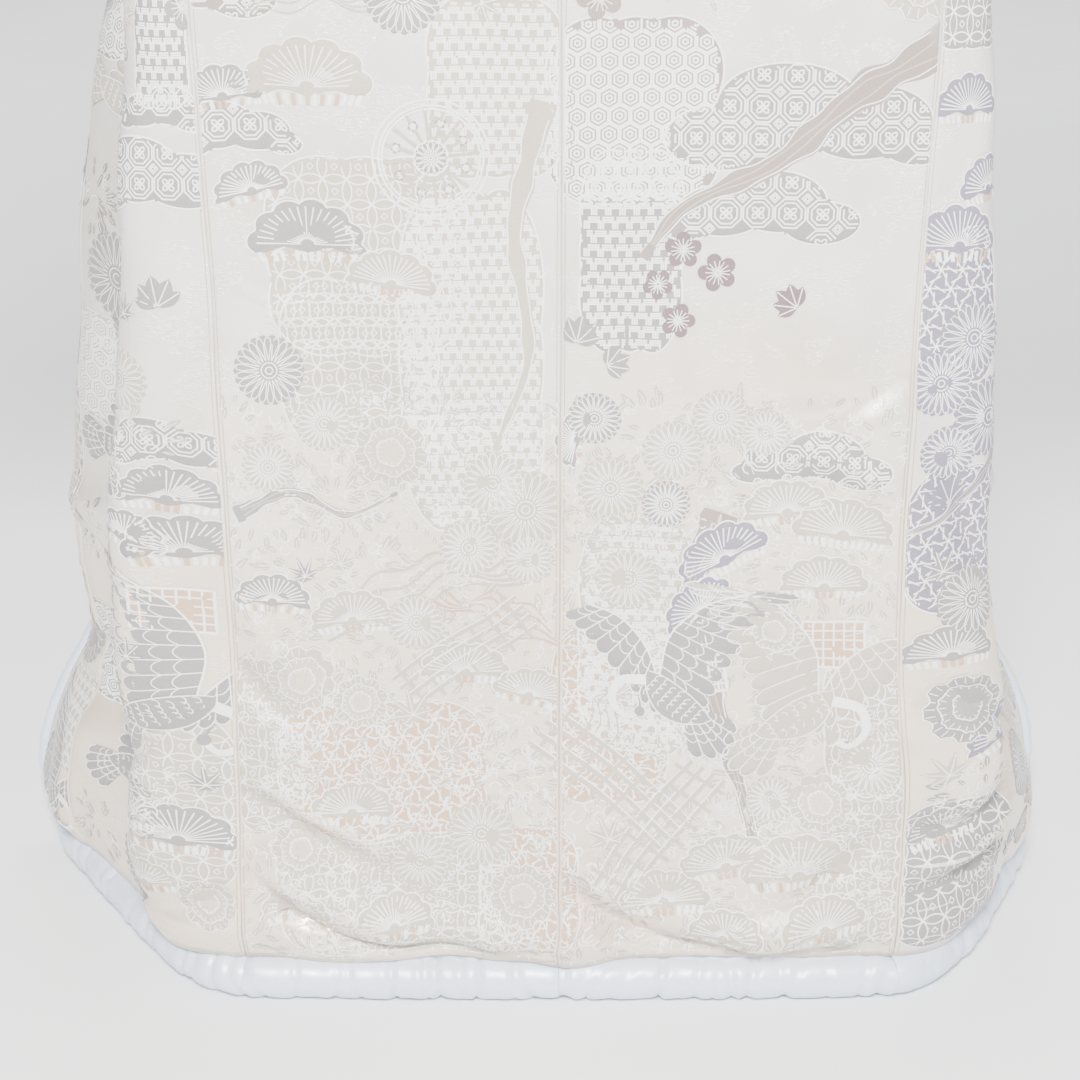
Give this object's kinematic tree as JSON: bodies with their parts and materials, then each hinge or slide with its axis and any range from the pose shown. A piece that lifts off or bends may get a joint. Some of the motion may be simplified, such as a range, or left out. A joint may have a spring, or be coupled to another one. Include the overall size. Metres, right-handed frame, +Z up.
{
  "type": "uchikake wedding kimono",
  "caption": "Full-length open bridal over-kimono in ivory figured satin, with long hanging sleeves, a band collar and a padded hem roll spread on the floor.",
  "frame": {"origin": "middle of the shoulder line at the nape, where the wearer's shoulders hold the garment up", "axes": "+Z up, -Y the way the back faces, +Y the open front, +X to the right as the back is looked at; the hem touches the floor at z = -1.850"},
  "size_m": [1.4628, 0.4008, 1.8954],
  "materials": {
    "brocade": "ivory silk satin with woven figures in white and pale taupe",
    "collar_cloth": "ivory silk satin band",
    "hem_silk": "plain cool white silk over soft padding"
  },
  "bodies": {
    "root": {"body_left": "brocade", "body_right": "brocade", "overlap_left": "brocade", "overlap_right": "brocade", "sleeve_left": "brocade", "sleeve_right": "brocade", "collar": "collar_cloth", "hem_roll_back_left": "hem_silk", "hem_roll_back_right": "hem_silk", "hem_roll_front_left": "hem_silk", "hem_roll_front_right": "hem_silk", "hem_roll_corner_left": "hem_silk", "hem_roll_corner_right": "hem_silk", "edge_roll_left": "hem_silk", "edge_roll_right": "hem_silk"}
  },
  "joints": []
}
